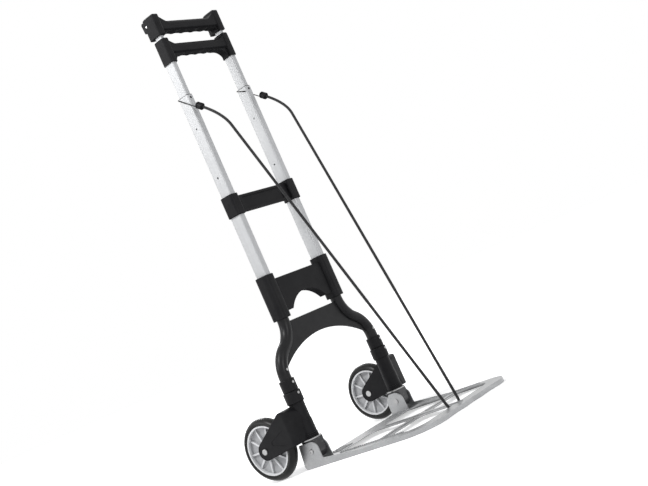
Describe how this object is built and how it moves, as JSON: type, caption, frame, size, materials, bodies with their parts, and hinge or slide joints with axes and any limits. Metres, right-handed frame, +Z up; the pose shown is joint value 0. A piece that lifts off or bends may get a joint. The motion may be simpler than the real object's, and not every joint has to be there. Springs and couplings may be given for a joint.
{
  "type": "folding hand truck",
  "caption": "Folding hand truck with telescoping flat tubes, grip handles, hinged toe plate, swivelling wheel forks and a hooked elastic cord.",
  "frame": {"origin": "on the floor under the middle of the standing truck", "axes": "+Z up along the tubes, -Y forward over the toe plate, X across from wheel to wheel"},
  "size_m": [0.404, 0.432, 0.967],
  "materials": {
    "black_steel": "satin black",
    "steel": "bright zinc",
    "aluminium_tube": "satin anodised",
    "plate_metal": "silver powder coat",
    "black_plastic": "matte black",
    "grip_plastic": "fine grain",
    "grey_plastic": "light grey",
    "tyre_rubber": "black rubber",
    "cord_fabric": "black braid",
    "black_wire": "black coated wire"
  },
  "bodies": {
    "frame": {"leg_tube_left": "black_steel", "leg_tube_right": "black_steel", "leg_rivets": "steel", "foot_pins": "steel", "bridge_screws": "steel", "lower_collars": "black_plastic", "upper_collars": "black_plastic", "leg_brace": "black_steel", "outer_tube_left": "aluminium_tube", "outer_tube_right": "aluminium_tube", "outer_bushes": "black_plastic", "upper_bridge": "black_plastic", "lower_bridge": "black_plastic", "hinge_block_left": "black_plastic", "hinge_block_right": "black_plastic", "foot_washer_left": "steel", "foot_washer_right": "steel", "cord_cap_left": "black_plastic", "cord_cap_right": "black_plastic", "cord_hook_left": "black_wire", "cord_hook_right": "black_wire", "elastic_cord": "cord_fabric"},
    "middle_stage": {"middle_tube_left": "aluminium_tube", "middle_tube_right": "aluminium_tube", "middle_sliders": "black_plastic", "middle_bushes": "black_plastic", "lower_handle": "grip_plastic", "lower_handle_screws": "steel"},
    "middle_lock": {"middle_plungers": "black_steel"},
    "top_stage": {"inner_tube_left": "aluminium_tube", "inner_tube_right": "aluminium_tube", "inner_sliders": "black_plastic", "top_handle": "grip_plastic", "lever_pins": "steel", "top_handle_screws": "steel"},
    "top_lock": {"top_plungers": "steel"},
    "lever_left": {"release_lever_left": "black_plastic"},
    "lever_right": {"release_lever_right": "black_plastic"},
    "rod_left": {"release_rod_left": "steel"},
    "rod_right": {"release_rod_right": "steel"},
    "toe_plate": {"toe_plate": "plate_metal", "pivot_rivet_left": "steel", "pivot_rivet_right": "steel", "fold_gear_left": "steel", "fold_gear_right": "steel"},
    "fork_left": {"fork_left": "black_plastic", "drive_shaft_left": "steel", "drive_pin_left": "steel", "axle_left": "steel"},
    "fork_right": {"fork_right": "black_plastic", "drive_shaft_right": "steel", "drive_pin_right": "steel", "axle_right": "steel"},
    "wheel_left": {"wheel_rim_left": "grey_plastic", "tyre_left": "tyre_rubber", "wheel_bush_left": "black_plastic"},
    "wheel_right": {"wheel_rim_right": "grey_plastic", "tyre_right": "tyre_rubber", "wheel_bush_right": "black_plastic"}
  },
  "joints": [
    {"name": "middle_slide", "type": "slide", "parent": "frame", "child": "middle_stage", "axis": [0, 0, 1], "range_m": [-0.073, 0.109]},
    {"name": "top_slide", "type": "slide", "parent": "middle_stage", "child": "top_stage", "axis": [0, 0, 1], "range_m": [-0.0065, 0.09]},
    {"name": "middle_lock_press", "type": "slide", "parent": "middle_stage", "child": "middle_lock", "axis": [-1, 0, 0], "range_m": [-0.001, 0.0013], "stiffness_N_per_m": 200},
    {"name": "top_lock_press", "type": "slide", "parent": "top_stage", "child": "top_lock", "axis": [1, 0, 0], "range_m": [-0.001, 0.0012], "stiffness_N_per_m": 200},
    {"name": "toe_fold", "type": "hinge", "parent": "frame", "child": "toe_plate", "pos_m": [0, 0.066, 0.032], "axis": [-1, 0, 0], "range_deg": [0, 90], "deforming": ["elastic_cord"]},
    {"name": "fork_turn_left", "type": "hinge", "parent": "frame", "child": "fork_left", "pos_m": [-0.152, 0.066, 0.09], "axis": [0, 0, -1], "range_deg": [0, 90]},
    {"name": "fork_turn_right", "type": "hinge", "parent": "frame", "child": "fork_right", "pos_m": [0.152, 0.066, 0.09], "axis": [0, 0, 1], "range_deg": [0, 90]},
    {"name": "wheel_spin_left", "type": "hinge", "parent": "fork_left", "child": "wheel_left", "pos_m": [-0.182, 0.151, 0.065], "axis": [1, 0, 0], "continuous": true},
    {"name": "wheel_spin_right", "type": "hinge", "parent": "fork_right", "child": "wheel_right", "pos_m": [0.182, 0.151, 0.065], "axis": [1, 0, 0], "continuous": true},
    {"name": "lever_press_left", "type": "hinge", "parent": "top_stage", "child": "lever_left", "pos_m": [-0.091, 0.0795, 0.95], "axis": [-1, 0, 0], "range_deg": [0, 10]},
    {"name": "rod_lift_left", "type": "slide", "parent": "top_stage", "child": "rod_left", "axis": [0, 0, 1], "range_m": [0, 0.00188], "stiffness_N_per_m": 2570},
    {"name": "lever_press_right", "type": "hinge", "parent": "top_stage", "child": "lever_right", "pos_m": [0.091, 0.0795, 0.95], "axis": [-1, 0, 0], "range_deg": [0, 10]},
    {"name": "rod_lift_right", "type": "slide", "parent": "top_stage", "child": "rod_right", "axis": [0, 0, 1], "range_m": [0, 0.00188], "stiffness_N_per_m": 2570}
  ],
  "couplings": [
    {"joint": "fork_turn_left", "follows": "toe_fold", "ratio": 1},
    {"joint": "fork_turn_right", "follows": "toe_fold", "ratio": 1},
    {"joint": "lever_press_left", "follows": "rod_lift_left", "rad_per_m": 92.59},
    {"joint": "lever_press_right", "follows": "rod_lift_right", "rad_per_m": 92.59}
  ]
}
